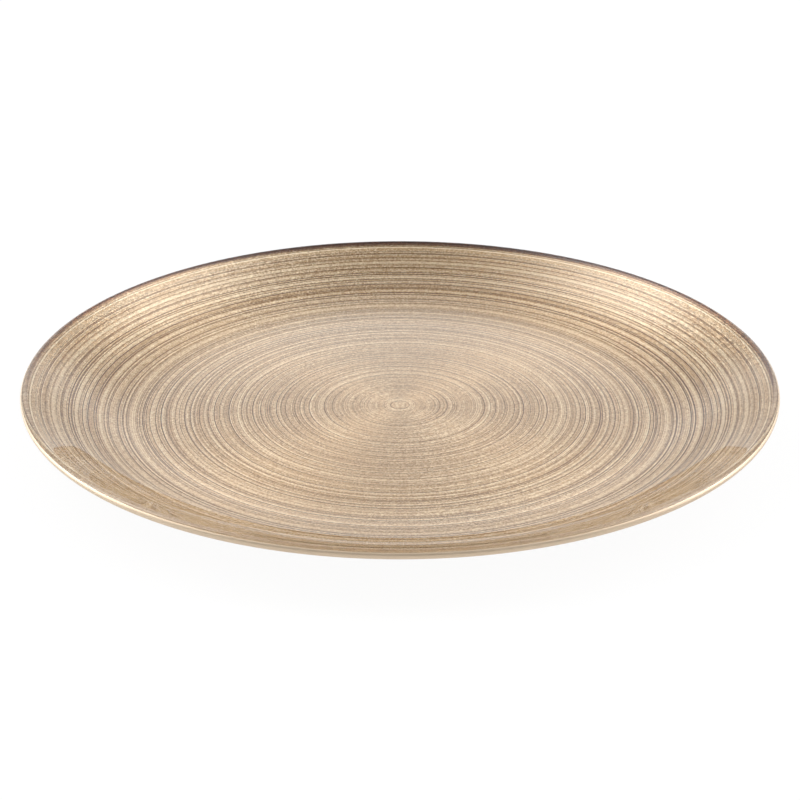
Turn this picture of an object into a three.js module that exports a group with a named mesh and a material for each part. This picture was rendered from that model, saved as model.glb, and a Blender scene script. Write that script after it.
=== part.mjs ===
// Glass dinner plate: a rimless coupe plate bent from clear sheet glass of one thickness, with
// brushed gold paint on its underside and a lacquer that seals the paint from behind.
// Millimetres, +Z up. The plate stands on Z = 0 and its axis is Z.
import * as THREE from 'three';

// Driving dimensions of the glass
const PLATE_DIAMETER = 280; // over the coats, which run round the edge of the glass
const GLASS_THICKNESS = 3;
const GLASS_HEIGHT = 19.6; // underside of the glass base to the top of the rim
const WALL_ANGLE = THREE.MathUtils.degToRad(29.5); // slope of the straight wall
const BEND_RADIUS = 72; // bend from the base up to the wall, at mid thickness
const LEAD_IN_RADIUS = 300; // softer curve between the flat base and the bend, at mid thickness
const LEAD_IN_ANGLE = THREE.MathUtils.degToRad(3); // slope where the softer curve meets the bend

// Driving dimensions of the coats
const GOLD_THICKNESS = 0.1;
const SEAL_THICKNESS = 0.1;
const EDGE_WRAP = THREE.MathUtils.degToRad(100); // turn of the coats round the rim, from the underside

// Facets
const AROUND = 84;
const LEAD_IN_STEPS = 2;
const BEND_STEPS = 6;
const RIM_STEP = THREE.MathUtils.degToRad(24); // widest turn of one facet round the rim

// The glass is described by the curve at its mid thickness, from the axis out to the centre of
// the rim's rounding. Every face of the plate lies at a constant distance from that curve.
const RIM_RADIUS = GLASS_THICKNESS / 2;
const COATS_THICKNESS = GOLD_THICKNESS + SEAL_THICKNESS;
const BASE_MID_Z = COATS_THICKNESS + GLASS_THICKNESS / 2;
const RIM_CENTRE = new THREE.Vector2(
  PLATE_DIAMETER / 2 - COATS_THICKNESS - RIM_RADIUS,
  COATS_THICKNESS + GLASS_HEIGHT - RIM_RADIUS,
);

// Each stretch is tangent to the next. The straight wall takes up the height that the two curves
// leave, and the flat base takes up the radius that is left inside them.
const LEAD_IN_RUN = LEAD_IN_RADIUS * Math.sin(LEAD_IN_ANGLE);
const LEAD_IN_RISE = LEAD_IN_RADIUS * (1 - Math.cos(LEAD_IN_ANGLE));
const BEND_RUN = BEND_RADIUS * (Math.sin(WALL_ANGLE) - Math.sin(LEAD_IN_ANGLE));
const BEND_RISE = BEND_RADIUS * (Math.cos(LEAD_IN_ANGLE) - Math.cos(WALL_ANGLE));
const WALL_RISE = RIM_CENTRE.y - BASE_MID_Z - LEAD_IN_RISE - BEND_RISE;
const WALL_RUN = WALL_RISE / Math.tan(WALL_ANGLE);
const BASE_RADIUS = RIM_CENTRE.x - WALL_RUN - BEND_RUN - LEAD_IN_RUN;
const LEAD_IN_CENTRE = new THREE.Vector2(BASE_RADIUS, BASE_MID_Z + LEAD_IN_RADIUS);
const BEND_CENTRE = arcPoint(LEAD_IN_CENTRE, LEAD_IN_RADIUS - BEND_RADIUS, LEAD_IN_ANGLE);

// Directions out of the rim's centre, as turns from the horizontal: where the round starts on the
// underside of the wall, where the coats end, and where the round ends on the upper side.
const RIM_START = WALL_ANGLE - Math.PI / 2;
const COAT_END = RIM_START + EDGE_WRAP;
const RIM_END = WALL_ANGLE + Math.PI / 2;

// Point of an arc that curves upwards, where the arc has the given slope.
function arcPoint(centre, radius, slope) {
  return new THREE.Vector2(
    centre.x + radius * Math.sin(slope),
    centre.y - radius * Math.cos(slope),
  );
}

// Outline from the axis to the end of the wall, of the face at the given height above the mid curve.
function faceOutline(height) {
  const stations = [
    { point: new THREE.Vector2(0, BASE_MID_Z), slope: 0 },
    { point: new THREE.Vector2(BASE_RADIUS, BASE_MID_Z), slope: 0 },
  ];
  for (let step = 1; step <= LEAD_IN_STEPS; step += 1) {
    const slope = (LEAD_IN_ANGLE * step) / LEAD_IN_STEPS;
    stations.push({ point: arcPoint(LEAD_IN_CENTRE, LEAD_IN_RADIUS, slope), slope });
  }
  for (let step = 1; step <= BEND_STEPS; step += 1) {
    const slope = THREE.MathUtils.lerp(LEAD_IN_ANGLE, WALL_ANGLE, step / BEND_STEPS);
    stations.push({ point: arcPoint(BEND_CENTRE, BEND_RADIUS, slope), slope });
  }
  stations.push({ point: RIM_CENTRE, slope: WALL_ANGLE });
  return stations.map(({ point, slope }) => new THREE.Vector2(
    Math.max(point.x - height * Math.sin(slope), 0),
    point.y + height * Math.cos(slope),
  ));
}

// Outline of a round about the rim's centre, through the given turns in order. Its first point is
// left out, because the outline before it ends there.
function rimOutline(radius, turns) {
  const outline = [];
  for (let span = 0; span < turns.length - 1; span += 1) {
    const steps = Math.ceil((turns[span + 1] - turns[span]) / RIM_STEP);
    for (let step = 1; step <= steps; step += 1) {
      const turn = THREE.MathUtils.lerp(turns[span], turns[span + 1], step / steps);
      outline.push(new THREE.Vector2(
        RIM_CENTRE.x + radius * Math.cos(turn),
        RIM_CENTRE.y + radius * Math.sin(turn),
      ));
    }
  }
  return outline;
}

// Solid of revolution about Z. The outline runs outwards along the underside and back to the
// axis along the upper side.
function revolve(name, outline, material) {
  const geometry = new THREE.LatheGeometry(outline, AROUND);
  geometry.rotateX(Math.PI / 2);
  const mesh = new THREE.Mesh(geometry, material);
  mesh.name = name;
  return mesh;
}

// Clear glass: constant thickness from the axis to the rim, which is ground to a full round. The
// round has a point where it is widest, where the coats end and where it is highest.
function glassBody() {
  const underside = faceOutline(-GLASS_THICKNESS / 2);
  const rim = rimOutline(RIM_RADIUS, [RIM_START, 0, COAT_END, Math.PI / 2, RIM_END]);
  const upperside = faceOutline(GLASS_THICKNESS / 2).reverse().slice(1);
  const material = new THREE.MeshStandardMaterial({
    color: '#e6ece6',
    roughness: 0.03,
    metalness: 0,
    transparent: true,
    opacity: 0.3,
  });
  return revolve('glass_body', [...underside, ...rim, ...upperside], material);
}

// A coat of one thickness that starts at a depth below the glass. It covers the underside and the
// lower part of the round rim, and ends there with a square edge.
function undersideCoat(name, depth, thickness, material) {
  const faces = [depth + thickness, depth].map((faceDepth) => [
    ...faceOutline(-GLASS_THICKNESS / 2 - faceDepth),
    ...rimOutline(RIM_RADIUS + faceDepth, [RIM_START, 0, COAT_END]),
  ]);
  return revolve(name, [...faces[0], ...faces[1].reverse()], material);
}

// Metallic gold paint, brushed in rings while the plate turns.
function goldPaintCoat() {
  const material = new THREE.MeshStandardMaterial({
    color: '#c6a878',
    roughness: 0.4,
    metalness: 0.9,
  });
  return undersideCoat('gold_paint_coat', 0, GOLD_THICKNESS, material);
}

// Satin lacquer over the paint: the face that the plate stands on, and the face of its edge.
function backSealCoat() {
  const material = new THREE.MeshStandardMaterial({
    color: '#cdbea6',
    roughness: 0.5,
    metalness: 0.2,
  });
  return undersideCoat('back_seal_coat', GOLD_THICKNESS, SEAL_THICKNESS, material);
}

const plate = new THREE.Group();
plate.add(glassBody(), goldPaintCoat(), backSealCoat());

export default plate;
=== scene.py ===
# Looks of the glass dinner plate: a rimless coupe plate of clear bent glass, with gold paint brushed
# in rings under the glass and a lacquer behind the paint. Metres, +Z up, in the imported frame.
import math

import bmesh
import bpy
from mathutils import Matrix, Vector


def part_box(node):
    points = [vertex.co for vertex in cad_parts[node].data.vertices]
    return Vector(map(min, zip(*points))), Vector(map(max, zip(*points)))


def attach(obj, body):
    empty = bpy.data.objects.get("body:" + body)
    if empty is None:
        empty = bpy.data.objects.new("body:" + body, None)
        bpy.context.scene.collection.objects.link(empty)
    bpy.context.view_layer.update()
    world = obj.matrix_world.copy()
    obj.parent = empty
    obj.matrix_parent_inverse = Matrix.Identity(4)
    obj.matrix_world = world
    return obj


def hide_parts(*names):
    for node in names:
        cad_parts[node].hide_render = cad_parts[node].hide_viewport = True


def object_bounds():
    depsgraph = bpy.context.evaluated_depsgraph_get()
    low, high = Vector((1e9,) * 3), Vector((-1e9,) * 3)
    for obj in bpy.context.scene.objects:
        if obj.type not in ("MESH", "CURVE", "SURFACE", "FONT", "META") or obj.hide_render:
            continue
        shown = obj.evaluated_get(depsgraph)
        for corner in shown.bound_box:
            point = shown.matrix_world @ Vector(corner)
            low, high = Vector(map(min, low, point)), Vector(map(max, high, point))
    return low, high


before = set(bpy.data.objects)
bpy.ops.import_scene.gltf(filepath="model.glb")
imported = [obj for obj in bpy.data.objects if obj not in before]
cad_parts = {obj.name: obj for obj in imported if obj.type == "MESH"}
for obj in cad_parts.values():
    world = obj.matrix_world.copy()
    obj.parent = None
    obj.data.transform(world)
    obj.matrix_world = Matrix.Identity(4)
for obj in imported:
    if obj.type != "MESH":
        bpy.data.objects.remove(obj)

MM = 0.001
cad_low, cad_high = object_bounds()
glass_low, glass_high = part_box("glass_body")
paint_low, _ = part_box("gold_paint_coat")
seal_low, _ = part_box("back_seal_coat")

# Section of the plate, as in the part's source. What the frame gives is taken from the frame.
PLATE_RADIUS = glass_high.x
RIM_TOP = glass_high.z
GLASS_THICKNESS = 3 * MM
GOLD_THICKNESS = glass_low.z - paint_low.z
SEAL_THICKNESS = paint_low.z - seal_low.z
WALL_ANGLE = math.radians(29.5)
BEND_RADIUS = 72 * MM
LEAD_IN_RADIUS = 300 * MM
LEAD_IN_ANGLE = math.radians(3)
EDGE_WRAP = math.radians(100)  # turn of the coats round the rim, from the underside
EDGE_FEATHER = math.radians(30)  # last part of that turn, over which the coats thin out
EDGE_FILM = 0.2  # share of their thickness that is left where they end

# Gold paint: the swell of its face, the rings that the brush drew in it, and its flakes, with painted
# shade and highlights on the rings, painted glints on the flakes and painted shade at the rim
STROKE_WIDTH = 1.3 * MM
STROKE_ARC = math.radians(55)
STROKE_HEIGHT = 0.02 * MM
STROKE_SEED = 7.0
BRUSH_RINGS = (  # distance apart, width, arc, lowest and highest strength (dark below 0), seed
    (1.8 * MM, 0.5 * MM, math.radians(170), (-1.5, -0.1), 2.0),
    (0.8 * MM, 0.38 * MM, math.radians(120), (-0.9, 0.5), 1.0),
    (0.42 * MM, 0.32 * MM, math.radians(60), (-0.8, 0.8), 4.0),
)
BRUSH_RELIEF = 0.05 * MM
FULL_PRESSURE_RADIUS = 0.7 * PLATE_RADIUS  # inside it the rings get fainter
MIDDLE_PRESSURE = 0.5  # share of their strength that is left at the axis
MIDDLE_TONE = 0.5
RING_CONTRAST = 0.8  # change of tone for a ring of strength 1; the tone is partly the paint's own ring pattern, partly painted shade in the sunken rings and a painted highlight on the raised ones
FLAKE_SIZE = 0.48 * MM  # coarser than real flakes, so that the glitter shows
FLAKE_GLINT = 0.4  # painted glint: how far the lightest flakes are lifted in colour above the tone of the rings
FLAKE_LEAN = 0.2  # how far the flakes lean out of the face of the paint
RIM_SHADE_WIDTH = 1.8 * MM  # width of the painted shade at the rim: darker brown paint for the dark band that the round rim shows
RIM_SHADE_SHARE = 0.95  # share of the dark brown painted shade at its outer end
PAINT_BITE = 0.05 * MM  # how far the paint's face is let into the glass, so that no air lies between

# Lacquer: faint rings and orange peel
LACQUER_RING_WIDTH = 1.5 * MM
LACQUER_RING_ARC = math.radians(80)
PEEL_SIZE = 1.2 * MM
PEEL_RELIEF = 0.02 * MM

# Mesh steps
GLASS_SEGMENTS = 512
GLASS_STEP = 2.5 * MM
RIM_STEPS = 36
COAT_SEGMENTS = 256
COAT_RIM_STEPS = 20
COAT_STEP = 0.55 * MM
SEAL_STEP = 2 * MM
WELD_DISTANCE = 0.001 * MM
CREASE_ANGLE = math.radians(60)

# Camera, placed from the centre of the rim
CAMERA_DISTANCE = 590 * MM
CAMERA_ELEVATION = math.radians(23.75)
CAMERA_TILT = math.radians(1.24)  # how far below the centre of the rim it points
CAMERA_LENS = 70.35  # millimetres on a 36 mm sensor

# Studio: a white surround with a dark ceiling, open behind the camera. On each side stand a soft light,
# a tall panel and, on the camera's side, a faint fill. A low band behind the plate is brighter.
# Azimuths are from +Y, which is behind the plate.
SURROUND_TOP = math.radians(46), math.radians(55)
SURROUND_ENDS = math.radians(94), math.radians(130)
SOFT_LIGHTS = (  # level, elevation, azimuth, spread upwards, spread sideways
    (4.5, math.radians(53), math.radians(-47), math.radians(10), math.radians(12)),
    (3.2, math.radians(53), math.radians(48), math.radians(10), math.radians(12)),
    (5.6, math.radians(23), math.radians(-78), math.radians(26), math.radians(9)),
    (5.2, math.radians(23), math.radians(78), math.radians(26), math.radians(9)),
    (0.7, math.radians(22), 0.0, math.radians(4), math.radians(50)),
    (0.9, math.radians(50), math.radians(-150), math.radians(15), math.radians(22)),
    (0.9, math.radians(50), math.radians(150), math.radians(15), math.radians(22)),
)
FLOOR_RADIUS = 4.0
FLOOR_GAP = 0.05 * MM  # between the floor and the plate
FLOOR_WHITE = 0.95  # share of plain white in the floor that is seen, and the rest is lit and shaded

# Mid curve of the glass: flat base, softer lead-in curve, bend, straight wall
RIM_RADIUS = GLASS_THICKNESS / 2
BASE_MID_Z = glass_low.z + RIM_RADIUS
RIM_CENTRE = Vector((PLATE_RADIUS - RIM_RADIUS, RIM_TOP - RIM_RADIUS))
LEAD_IN_LENGTH = LEAD_IN_RADIUS * LEAD_IN_ANGLE
LEAD_IN_RUN = LEAD_IN_RADIUS * math.sin(LEAD_IN_ANGLE)
LEAD_IN_RISE = LEAD_IN_RADIUS * (1 - math.cos(LEAD_IN_ANGLE))
BEND_LENGTH = BEND_RADIUS * (WALL_ANGLE - LEAD_IN_ANGLE)
BEND_RUN = BEND_RADIUS * (math.sin(WALL_ANGLE) - math.sin(LEAD_IN_ANGLE))
BEND_RISE = BEND_RADIUS * (math.cos(LEAD_IN_ANGLE) - math.cos(WALL_ANGLE))
WALL_RISE = RIM_CENTRE.y - BASE_MID_Z - LEAD_IN_RISE - BEND_RISE
WALL_LENGTH = WALL_RISE / math.sin(WALL_ANGLE)
BASE_RADIUS = RIM_CENTRE.x - WALL_RISE / math.tan(WALL_ANGLE) - BEND_RUN - LEAD_IN_RUN
CURVE_LENGTH = BASE_RADIUS + LEAD_IN_LENGTH + BEND_LENGTH + WALL_LENGTH
LEAD_IN_CENTRE = Vector((BASE_RADIUS, BASE_MID_Z + LEAD_IN_RADIUS))


def arc_point(centre, radius, slope):
    """Point of an arc that curves upwards, where the arc has the given slope."""
    return centre + radius * Vector((math.sin(slope), -math.cos(slope)))


BEND_CENTRE = arc_point(LEAD_IN_CENTRE, LEAD_IN_RADIUS - BEND_RADIUS, LEAD_IN_ANGLE)


def mid_curve(travel):
    """Point and slope of the mid curve at a distance along it from the axis."""
    if travel <= BASE_RADIUS:
        return Vector((travel, BASE_MID_Z)), 0.0
    travel -= BASE_RADIUS
    if travel <= LEAD_IN_LENGTH:
        slope = travel / LEAD_IN_RADIUS
        return arc_point(LEAD_IN_CENTRE, LEAD_IN_RADIUS, slope), slope
    travel -= LEAD_IN_LENGTH
    if travel <= BEND_LENGTH:
        slope = LEAD_IN_ANGLE + travel / BEND_RADIUS
        return arc_point(BEND_CENTRE, BEND_RADIUS, slope), slope
    travel -= BEND_LENGTH
    wall_start = arc_point(BEND_CENTRE, BEND_RADIUS, WALL_ANGLE)
    wall_direction = Vector((math.cos(WALL_ANGLE), math.sin(WALL_ANGLE)))
    return wall_start + travel * wall_direction, WALL_ANGLE


def face_outline(length, step, height, stroked=0.0):
    """Outline of a face at a height above the mid curve: points, each with its stroke direction."""
    count = math.ceil(length / step)
    outline = []
    for index in range(count + 1):
        point, slope = mid_curve(length * index / count)
        upright = Vector((-math.sin(slope), math.cos(slope)))
        outline.append((point + height * upright, stroked * upright))
    return outline


def rim_outline(end, steps, depth):
    """Round of the rim out to an end turn, for a face at a depth that thins out with the coats."""
    outline = []
    for index in range(1, steps + 1):
        turn = end * index / steps
        fade = min(max((turn - EDGE_WRAP + EDGE_FEATHER) / EDGE_FEATHER, 0), 1)
        radius = RIM_RADIUS + depth * (1 - fade * (1 - EDGE_FILM))
        direction = WALL_ANGLE - math.pi / 2 + turn
        point = RIM_CENTRE + radius * Vector((math.cos(direction), math.sin(direction)))
        outline.append((point, Vector((0, 0))))
    return outline


def linear(hex_colour):
    """Linear colour of an sRGB hex value."""
    channels = [int(hex_colour[start:start + 2], 16) / 255 for start in (1, 3, 5)]
    return [c / 12.92 if c <= 0.04045 else ((c + 0.055) / 1.055) ** 2.4 for c in channels] + [1.0]


def add(tree, kind, inputs=None, **settings):
    """Adds a node with its settings. An input is a value, or an output socket to link."""
    node = tree.nodes.new(kind)
    for name, value in settings.items():
        setattr(node, name, value)
    for key, value in (inputs or {}).items():
        if isinstance(value, bpy.types.NodeSocket):
            tree.links.new(value, node.inputs[key])
        else:
            node.inputs[key].default_value = value
    return node


def turned_layer_tree():
    """Geometry Nodes that turn a section about Z, with brush strokes on the faces that carry them."""
    tree = bpy.data.node_groups.new("turned_layer", "GeometryNodeTree")
    for name, kind in (
        ("Section", "NodeSocketGeometry"),
        ("Segments", "NodeSocketInt"),
        ("Stroke width", "NodeSocketFloat"),
        ("Stroke arc", "NodeSocketFloat"),
        ("Stroke height", "NodeSocketFloat"),
        ("Stroke seed", "NodeSocketFloat"),
        ("Finish", "NodeSocketMaterial"),
    ):
        tree.interface.new_socket(name=name, in_out="INPUT", socket_type=kind)
    tree.interface.new_socket(name="Layer", in_out="OUTPUT", socket_type="NodeSocketGeometry")
    given = add(tree, "NodeGroupInput").outputs
    # A grid with a row for each point of the section, whose first and last columns meet
    stations = add(tree, "GeometryNodeAttributeDomainSize", {"Geometry": given["Section"]})
    columns = add(tree, "FunctionNodeIntegerMath", {0: given["Segments"], 1: 1}, operation="ADD")
    grid = add(tree, "GeometryNodeMeshGrid", {
        "Vertices X": stations.outputs["Point Count"],
        "Vertices Y": columns.outputs[0],
    })
    index = add(tree, "GeometryNodeInputIndex")
    station = add(tree, "FunctionNodeIntegerMath", {
        0: index.outputs[0], 1: columns.outputs[0],
    }, operation="DIVIDE_FLOOR")
    column = add(tree, "FunctionNodeIntegerMath", {
        0: index.outputs[0], 1: columns.outputs[0],
    }, operation="MODULO")
    share = add(tree, "ShaderNodeMath", {
        0: column.outputs[0], 1: given["Segments"],
    }, operation="DIVIDE")
    turn = add(tree, "ShaderNodeMath", {0: share.outputs[0], 1: math.tau}, operation="MULTIPLY")
    here = add(tree, "GeometryNodeInputPosition")
    point = add(tree, "GeometryNodeSampleIndex", {
        "Geometry": given["Section"], "Value": here.outputs[0], "Index": station.outputs[0],
    }, data_type="FLOAT_VECTOR")
    stroke_direction = add(tree, "GeometryNodeInputNamedAttribute", {
        "Name": "stroke_direction",
    }, data_type="FLOAT_VECTOR")
    direction = add(tree, "GeometryNodeSampleIndex", {
        "Geometry": given["Section"],
        "Value": stroke_direction.outputs["Attribute"],
        "Index": station.outputs[0],
    }, data_type="FLOAT_VECTOR")
    # Strokes drawn out round the axis, which lift the point along its stroke direction
    radius = add(tree, "ShaderNodeSeparateXYZ", {0: point.outputs[0]})
    across = add(tree, "ShaderNodeMath", {
        0: radius.outputs["X"], 1: given["Stroke width"],
    }, operation="DIVIDE")
    reach = add(tree, "ShaderNodeMath", {0: 1.0, 1: given["Stroke arc"]}, operation="DIVIDE")
    along = add(tree, "ShaderNodeCombineXYZ", {"X": reach.outputs[0], "Z": across.outputs[0]})
    stroke_point = add(tree, "ShaderNodeVectorRotate", {
        "Vector": along.outputs[0], "Angle": turn.outputs[0],
    }, rotation_type="Z_AXIS")
    strokes = add(tree, "ShaderNodeTexNoise", {
        "Vector": stroke_point.outputs[0], "W": given["Stroke seed"], "Scale": 1.0, "Detail": 1.0,
    }, noise_dimensions="4D")
    lift = add(tree, "ShaderNodeMapRange", {
        "Value": strokes.outputs[0], "From Min": 0.25, "From Max": 0.75, "To Min": -1.0, "To Max": 1.0,
    })
    height = add(tree, "ShaderNodeMath", {
        0: lift.outputs[0], 1: given["Stroke height"],
    }, operation="MULTIPLY")
    stroked = add(tree, "ShaderNodeVectorMath", {
        0: direction.outputs[0], 1: height.outputs[0], 2: point.outputs[0],
    }, operation="MULTIPLY_ADD")
    turned = add(tree, "ShaderNodeVectorRotate", {
        "Vector": stroked.outputs[0], "Angle": turn.outputs[0],
    }, rotation_type="Z_AXIS")
    layer = add(tree, "GeometryNodeSetPosition", {
        "Geometry": grid.outputs["Mesh"], "Position": turned.outputs[0],
    })
    # The seam is welded, and only edges past the crease angle stay sharp
    closed = add(tree, "GeometryNodeMergeByDistance", {
        "Geometry": layer.outputs[0], "Distance": WELD_DISTANCE,
    })
    fold = add(tree, "GeometryNodeInputMeshEdgeAngle")
    corner = add(tree, "FunctionNodeCompare", {
        0: fold.outputs["Unsigned Angle"], 1: CREASE_ANGLE,
    }, operation="GREATER_THAN")
    smooth = add(tree, "GeometryNodeSetShadeSmooth", {
        "Geometry": closed.outputs[0], "Shade Smooth": True,
    }, domain="FACE")
    crisp = add(tree, "GeometryNodeSetShadeSmooth", {
        "Geometry": smooth.outputs[0], "Selection": corner.outputs[0], "Shade Smooth": False,
    }, domain="EDGE")
    real = add(tree, "GeometryNodeRealizeInstances", {"Geometry": crisp.outputs[0]})
    finished = add(tree, "GeometryNodeSetMaterial", {
        "Geometry": real.outputs[0], "Material": given["Finish"],
    })
    add(tree, "NodeGroupOutput", {"Layer": finished.outputs[0]})
    return tree


def turned_piece(name, tree, outline, finish, segments):
    """A closed piece turned from an outline that starts and ends on the axis."""
    section = bpy.data.meshes.new(name + "_section")
    points = [(max(point.x, 0.0), 0.0, point.y) for point, _ in outline]
    section.from_pydata(points, [(i, i + 1) for i in range(len(points) - 1)], [])
    directions = section.attributes.new("stroke_direction", "FLOAT_VECTOR", "POINT")
    for item, (_, direction) in zip(directions.data, outline):
        item.vector = (direction.x, 0.0, direction.y)
    piece = bpy.data.objects.new(name, section)
    bpy.context.scene.collection.objects.link(piece)
    turning = piece.modifiers.new("turning", "NODES")
    turning.node_group = tree
    settings = {
        "Segments": segments,
        "Stroke width": STROKE_WIDTH,
        "Stroke arc": STROKE_ARC,
        "Stroke height": STROKE_HEIGHT,
        "Stroke seed": STROKE_SEED,
        "Finish": finish,
    }
    for socket in tree.interface.items_tree:
        if socket.name in settings:
            turning[socket.identifier] = settings[socket.name]
    shaped = piece.evaluated_get(bpy.context.evaluated_depsgraph_get())
    turned = bpy.data.meshes.new_from_object(shaped)
    piece.modifiers.remove(turning)
    piece.data = turned
    bpy.data.meshes.remove(section)
    faces = bmesh.new()
    faces.from_mesh(turned)
    bmesh.ops.recalc_face_normals(faces, faces=faces.faces)
    faces.to_mesh(turned)
    faces.free()
    return piece


def new_material(name):
    """An empty node material and its tree."""
    material = bpy.data.materials.new(name)
    material.use_nodes = True
    material.node_tree.nodes.clear()
    return material, material.node_tree


def axis_distance(tree):
    """The place on the piece without its height, and its distance from the axis."""
    place = add(tree, "ShaderNodeTexCoord").outputs["Object"]
    flat = add(tree, "ShaderNodeVectorMath", {0: place, 1: (1, 1, 0)}, operation="MULTIPLY").outputs[0]
    radius = add(tree, "ShaderNodeVectorMath", {0: flat}, operation="LENGTH").outputs["Value"]
    return flat, radius


def ring_strokes(tree, width, arc, detail, seed):
    """Noise drawn out round the axis: strokes of a width across and an arc along."""
    flat, radius = axis_distance(tree)
    heading = add(tree, "ShaderNodeVectorMath", {0: flat}, operation="NORMALIZE")
    along = add(tree, "ShaderNodeVectorMath", {
        0: heading.outputs[0], "Scale": 1 / arc,
    }, operation="SCALE")
    across = add(tree, "ShaderNodeMath", {0: radius, 1: width}, operation="DIVIDE")
    lifted = add(tree, "ShaderNodeCombineXYZ", {"Z": across.outputs[0]})
    point = add(tree, "ShaderNodeVectorMath", {
        0: along.outputs[0], 1: lifted.outputs[0],
    }, operation="ADD")
    noise = add(tree, "ShaderNodeTexNoise", {
        "Vector": point.outputs[0], "W": seed, "Scale": 1.0, "Detail": detail,
    }, noise_dimensions="4D")
    return noise.outputs[0]


def clear_glass():
    """Soda-lime sheet glass, bent over a mould, its edge polished: clear, smooth, faintly green."""
    material, tree = new_material("clear_soda_lime_glass")
    shader = add(tree, "ShaderNodeBsdfPrincipled", {
        "Base Color": linear("#fafcf9"),
        "Roughness": 0.0,
        "IOR": 1.52,
        "Transmission Weight": 1.0,
    })
    add(tree, "ShaderNodeOutputMaterial", {"Surface": shader.outputs[0]})
    return material


def brush_lines(tree, spacing, width, arc, strengths, seed):
    """Thin rings at uneven distances. Each has a strength from a range and fades along its length."""
    _, radius = axis_distance(tree)
    across = add(tree, "ShaderNodeMath", {
        0: radius, 1: 1 / spacing, 2: seed,
    }, operation="MULTIPLY_ADD")
    rings = add(tree, "ShaderNodeTexVoronoi", {
        "W": across.outputs[0], "Scale": 1.0, "Randomness": 0.8,
    }, voronoi_dimensions="1D")
    line = add(tree, "ShaderNodeMapRange", {
        "Value": rings.outputs["Distance"],
        "From Max": width / spacing / 2,
        "To Min": 1.0,
        "To Max": 0.0,
    }, interpolation_type="SMOOTHSTEP")
    kind = add(tree, "ShaderNodeSeparateColor", {0: rings.outputs["Color"]})
    strength = add(tree, "ShaderNodeMapRange", {
        "Value": kind.outputs[0], "To Min": strengths[0], "To Max": strengths[1],
    })
    strokes = ring_strokes(tree, spacing, arc, detail=0.0, seed=seed)
    pressed = add(tree, "ShaderNodeMapRange", {
        "Value": strokes, "From Min": 0.3, "From Max": 0.6, "To Min": 0.35,
    }, interpolation_type="SMOOTHSTEP")
    drawn = add(tree, "ShaderNodeMath", {
        0: line.outputs[0], 1: strength.outputs[0],
    }, operation="MULTIPLY")
    faded = add(tree, "ShaderNodeMath", {
        0: drawn.outputs[0], 1: pressed.outputs[0],
    }, operation="MULTIPLY")
    return faded.outputs[0]


def brushed_gold_paint():
    """Metallic gold paint, brushed while the plate turned: thin rings with painted shade and highlights,
    glitter with painted glints, and a brown band of painted shade at the rim.
    """
    material, tree = new_material("brushed_gold_paint")
    strokes = 0.0
    for rings in BRUSH_RINGS:
        drawn = brush_lines(tree, *rings)
        strokes = add(tree, "ShaderNodeMath", {0: drawn, 1: strokes}, operation="ADD").outputs[0]
    place = add(tree, "ShaderNodeTexCoord").outputs["Object"]
    flakes = add(tree, "ShaderNodeTexVoronoi", {"Vector": place, "Scale": 1 / FLAKE_SIZE})
    flake = add(tree, "ShaderNodeSeparateColor", {0: flakes.outputs["Color"]})
    _, radius = axis_distance(tree)
    pressure = add(tree, "ShaderNodeMapRange", {
        "Value": radius, "From Max": FULL_PRESSURE_RADIUS, "To Min": MIDDLE_PRESSURE,
    })
    relief_height = add(tree, "ShaderNodeMath", {
        0: strokes, 1: pressure.outputs[0],
    }, operation="MULTIPLY")
    # Tone of the rings follows their relief: partly the paint's own brushed pattern, partly painted
    # shade in the sunken rings and a painted highlight on the raised ones
    tone = add(tree, "ShaderNodeMath", {
        0: relief_height.outputs[0], 1: RING_CONTRAST, 2: MIDDLE_TONE,
    }, operation="MULTIPLY_ADD")
    # Painted glints: flakes lifted at random towards the pale end of the ramp
    glint = add(tree, "ShaderNodeMath", {
        0: flake.outputs[0], 1: FLAKE_GLINT, 2: tone.outputs[0],
    }, operation="MULTIPLY_ADD")
    colour = add(tree, "ShaderNodeValToRGB", {0: glint.outputs[0]})
    ramp = colour.color_ramp
    ramp.elements[0].position = 0.05
    ramp.elements[0].color = linear("#5a2b00")
    ramp.elements[1].position = 1.0
    ramp.elements[1].color = linear("#ffeed2")
    middle = ramp.elements.new(0.62)
    middle.color = linear("#c9a67d")
    # Painted shade: the colour turns dark brown towards the rim, for the dark band the round glass rim
    # shows there
    edge = add(tree, "ShaderNodeMapRange", {
        "Value": radius,
        "From Min": PLATE_RADIUS - RIM_SHADE_WIDTH,
        "From Max": PLATE_RADIUS,
        "To Max": RIM_SHADE_SHARE,
    })
    rim_shaded = add(tree, "ShaderNodeMix", {
        "Factor": edge.outputs[0], 6: colour.outputs[0], 7: linear("#68300f"),
    }, data_type="RGBA")
    lean = add(tree, "ShaderNodeVectorMath", {
        0: flakes.outputs["Color"], 1: (0.5, 0.5, 0.5),
    }, operation="SUBTRACT")
    upright = add(tree, "ShaderNodeNewGeometry").outputs["Normal"]
    leaning = add(tree, "ShaderNodeVectorMath", {
        0: lean.outputs[0], 1: 3 * (FLAKE_LEAN,), 2: upright,
    }, operation="MULTIPLY_ADD")
    flake_normal = add(tree, "ShaderNodeVectorMath", {0: leaning.outputs[0]}, operation="NORMALIZE")
    relief = add(tree, "ShaderNodeBump", {
        "Strength": 1.0,
        "Distance": BRUSH_RELIEF,
        "Height": relief_height.outputs[0],
        "Normal": flake_normal.outputs[0],
    })
    ring_way = add(tree, "ShaderNodeTangent", direction_type="RADIAL", axis="Z")
    shader = add(tree, "ShaderNodeBsdfPrincipled", {
        "Base Color": rim_shaded.outputs[2],
        "Metallic": 0.6,
        "Specular IOR Level": 0.0,
        "Roughness": 0.34,
        "Anisotropic": 0.9,
        "Anisotropic Rotation": 0.25,
        "Normal": relief.outputs[0],
        "Tangent": ring_way.outputs[0],
    })
    add(tree, "ShaderNodeOutputMaterial", {"Surface": shader.outputs[0]})
    return material


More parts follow.
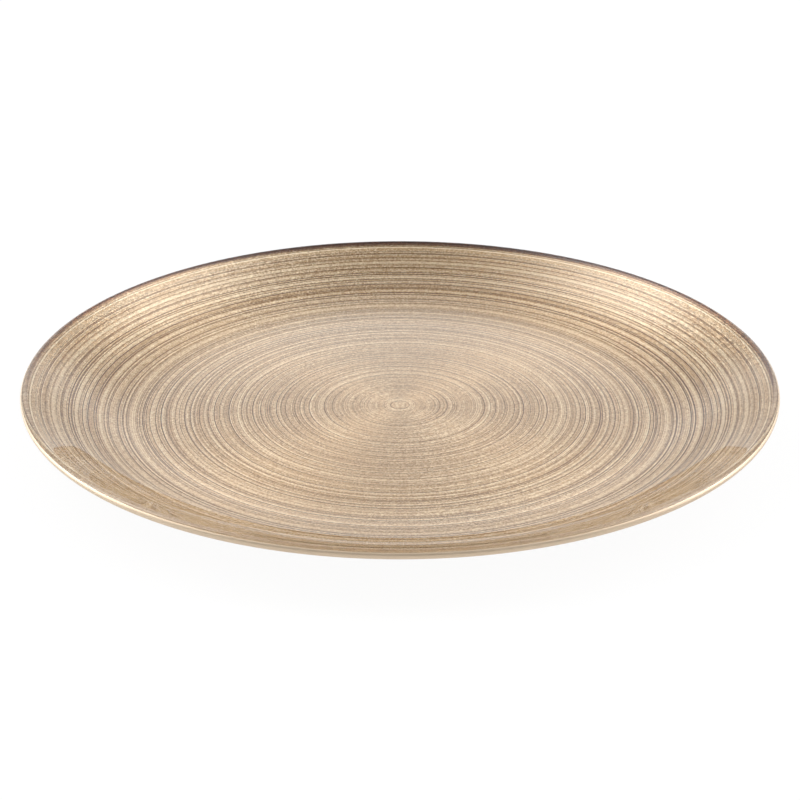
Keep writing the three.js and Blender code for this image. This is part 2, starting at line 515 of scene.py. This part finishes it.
def back_lacquer():
    """Satin lacquer sprayed over the paint: light champagne, faint rings, a little orange peel."""
    material, tree = new_material("satin_champagne_lacquer")
    rings = ring_strokes(tree, LACQUER_RING_WIDTH, LACQUER_RING_ARC, detail=1.0, seed=5.0)
    colour = add(tree, "ShaderNodeValToRGB", {0: rings})
    ramp = colour.color_ramp
    ramp.elements[0].position = 0.3
    ramp.elements[0].color = linear("#c8b39a")
    ramp.elements[1].position = 0.7
    ramp.elements[1].color = linear("#dac8b0")
    place = add(tree, "ShaderNodeTexCoord").outputs["Object"]
    peel = add(tree, "ShaderNodeTexNoise", {"Vector": place, "Scale": 1 / PEEL_SIZE, "Detail": 2.0})
    relief = add(tree, "ShaderNodeBump", {
        "Strength": 1.0, "Distance": PEEL_RELIEF, "Height": peel.outputs[0],
    })
    shader = add(tree, "ShaderNodeBsdfPrincipled", {
        "Base Color": colour.outputs[0],
        "Metallic": 0.6,
        "Roughness": 0.45,
        "Normal": relief.outputs[0],
    })
    add(tree, "ShaderNodeOutputMaterial", {"Surface": shader.outputs[0]})
    return material


def white_floor():
    """White studio floor: shows white, keeps a soft shadow, and is open when seen from below."""
    material, tree = new_material("white_studio_floor")
    path = add(tree, "ShaderNodeLightPath").outputs
    mirrored = add(tree, "ShaderNodeMath", {
        0: path["Is Camera Ray"], 1: path["Is Glossy Ray"],
    }, operation="MAXIMUM")
    seen = add(tree, "ShaderNodeMath", {
        0: mirrored.outputs[0], 1: path["Is Transmission Ray"],
    }, operation="MAXIMUM")
    share = add(tree, "ShaderNodeMath", {0: seen.outputs[0], 1: FLOOR_WHITE}, operation="MULTIPLY")
    lit = add(tree, "ShaderNodeBsdfDiffuse", {"Color": (0.9, 0.9, 0.9, 1.0)})
    white = add(tree, "ShaderNodeEmission", {"Color": (1.0, 1.0, 1.0, 1.0), "Strength": 1.0})
    top = add(tree, "ShaderNodeMixShader", {0: share.outputs[0], 1: lit.outputs[0], 2: white.outputs[0]})
    below = add(tree, "ShaderNodeNewGeometry").outputs["Backfacing"]
    clear = add(tree, "ShaderNodeBsdfTransparent")
    shader = add(tree, "ShaderNodeMixShader", {0: below, 1: top.outputs[0], 2: clear.outputs[0]})
    add(tree, "ShaderNodeOutputMaterial", {"Surface": shader.outputs[0]})
    return material


def studio_world():
    """White surround up to a dark ceiling, soft lights on both sides and a bright band behind."""
    world = bpy.data.worlds.new("studio")
    bpy.context.scene.world = world
    world.use_nodes = True
    tree = world.node_tree
    tree.nodes.clear()
    direction = add(tree, "ShaderNodeTexCoord").outputs["Generated"]
    axes = add(tree, "ShaderNodeSeparateXYZ", {0: direction}).outputs
    elevation = add(tree, "ShaderNodeMath", {0: axes["Z"]}, operation="ARCSINE").outputs[0]
    azimuth = add(tree, "ShaderNodeMath", {0: axes["X"], 1: axes["Y"]}, operation="ARCTAN2").outputs[0]
    sideways = add(tree, "ShaderNodeMath", {0: azimuth}, operation="ABSOLUTE").outputs[0]
    level = add(tree, "ShaderNodeMath", {0: elevation}, operation="COSINE").outputs[0]
    around = add(tree, "ShaderNodeMapRange", {
        "Value": sideways,
        "From Min": SURROUND_ENDS[0],
        "From Max": SURROUND_ENDS[1],
        "To Min": 1.0,
        "To Max": 0.0,
    }, interpolation_type="SMOOTHSTEP")
    upwards = add(tree, "ShaderNodeMapRange", {
        "Value": elevation,
        "From Min": SURROUND_TOP[0],
        "From Max": SURROUND_TOP[1],
        "To Min": 1.0,
        "To Max": 0.0,
    }, interpolation_type="SMOOTHSTEP")
    light = add(tree, "ShaderNodeMath", {
        0: around.outputs[0], 1: upwards.outputs[0],
    }, operation="MULTIPLY").outputs[0]
    # Each light is a bell curve in elevation and azimuth, added to the surround
    for strength, height, turn, upward_spread, sideways_spread in SOFT_LIGHTS:
        rise = add(tree, "ShaderNodeMath", {0: elevation, 1: height}, operation="SUBTRACT")
        up = add(tree, "ShaderNodeMath", {0: rise.outputs[0], 1: upward_spread}, operation="DIVIDE")
        up_square = add(tree, "ShaderNodeMath", {0: up.outputs[0], 1: 2.0}, operation="POWER")
        swing = add(tree, "ShaderNodeMath", {0: azimuth, 1: turn}, operation="SUBTRACT")
        arc = add(tree, "ShaderNodeMath", {0: swing.outputs[0], 1: level}, operation="MULTIPLY")
        side = add(tree, "ShaderNodeMath", {0: arc.outputs[0], 1: sideways_spread}, operation="DIVIDE")
        side_square = add(tree, "ShaderNodeMath", {0: side.outputs[0], 1: 2.0}, operation="POWER")
        away = add(tree, "ShaderNodeMath", {
            0: up_square.outputs[0], 1: side_square.outputs[0],
        }, operation="ADD")
        fall = add(tree, "ShaderNodeMath", {0: away.outputs[0], 1: -0.5}, operation="MULTIPLY")
        glow = add(tree, "ShaderNodeMath", {0: fall.outputs[0]}, operation="EXPONENT")
        light = add(tree, "ShaderNodeMath", {
            0: glow.outputs[0], 1: strength, 2: light,
        }, operation="MULTIPLY_ADD").outputs[0]
    path = add(tree, "ShaderNodeLightPath").outputs
    seen = add(tree, "ShaderNodeMix", {
        0: path["Is Camera Ray"], 2: light, 3: 1.0,
    }, data_type="FLOAT")
    shader = add(tree, "ShaderNodeBackground", {
        "Color": (1.0, 1.0, 1.0, 1.0), "Strength": seen.outputs[0],
    })
    add(tree, "ShaderNodeOutputWorld", {"Surface": shader.outputs[0]})


def studio_floor():
    """Round floor just under the plate."""
    mesh = bpy.data.meshes.new("studio_floor")
    floor = bpy.data.objects.new("studio_floor", mesh)
    bpy.context.scene.collection.objects.link(floor)
    faces = bmesh.new()
    bmesh.ops.create_circle(faces, cap_ends=True, segments=64, radius=FLOOR_RADIUS)
    bmesh.ops.translate(faces, verts=faces.verts, vec=(0, 0, cad_low.z - FLOOR_GAP))
    faces.to_mesh(mesh)
    faces.free()
    mesh.materials.append(white_floor())


def photo_camera():
    """Camera at the photograph's viewing angle."""
    data = bpy.data.cameras.new("photo_camera")
    camera = bpy.data.objects.new("photo_camera", data)
    bpy.context.scene.collection.objects.link(camera)
    bpy.context.scene.camera = camera
    data.sensor_width = 36
    data.lens = CAMERA_LENS
    data.clip_start = 0.01
    camera.location = (
        0,
        -CAMERA_DISTANCE * math.cos(CAMERA_ELEVATION),
        RIM_CENTRE.y + CAMERA_DISTANCE * math.sin(CAMERA_ELEVATION),
    )
    camera.rotation_euler = (math.pi / 2 - CAMERA_ELEVATION - CAMERA_TILT, 0, 0)


def glass_outline():
    """Closed outline of the glass: underside, round rim, upper side."""
    underside = face_outline(CURVE_LENGTH, GLASS_STEP, -GLASS_THICKNESS / 2)
    upperside = face_outline(CURVE_LENGTH, GLASS_STEP, GLASS_THICKNESS / 2)
    return underside + rim_outline(math.pi, RIM_STEPS, 0) + upperside[-2::-1]


def coat_outline(outer_depth, inner_depth, step, stroked):
    """Closed outline of a coat between two depths below the glass, with strokes on its upper face."""
    outer = face_outline(CURVE_LENGTH, SEAL_STEP, -GLASS_THICKNESS / 2 - outer_depth)
    inner = face_outline(CURVE_LENGTH, step, -GLASS_THICKNESS / 2 - inner_depth, stroked)
    outer += rim_outline(EDGE_WRAP, COAT_RIM_STEPS, outer_depth)
    inner += rim_outline(EDGE_WRAP, COAT_RIM_STEPS, inner_depth)
    return outer + inner[::-1]


def main():
    bpy.context.scene.view_settings.view_transform = "Standard"
    photo_camera()
    studio_world()
    studio_floor()
    tree = turned_layer_tree()
    coats = GOLD_THICKNESS + SEAL_THICKNESS
    gold_outline = coat_outline(GOLD_THICKNESS, -PAINT_BITE, COAT_STEP, 1.0)
    seal_outline = coat_outline(coats, GOLD_THICKNESS, SEAL_STEP, 0.0)
    pieces = (
        ("glass_body", "clear_glass",
         turned_piece("clear_glass", tree, glass_outline(), clear_glass(), GLASS_SEGMENTS)),
        ("gold_paint_coat", "gold_paint",
         turned_piece("brushed_gold", tree, gold_outline, brushed_gold_paint(), COAT_SEGMENTS)),
        ("back_seal_coat", "back_lacquer",
         turned_piece("sealed_back", tree, seal_outline, back_lacquer(), COAT_SEGMENTS)),
    )
    for node, slot, piece in pieces:
        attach(piece, "root")
        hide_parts(node)


main()
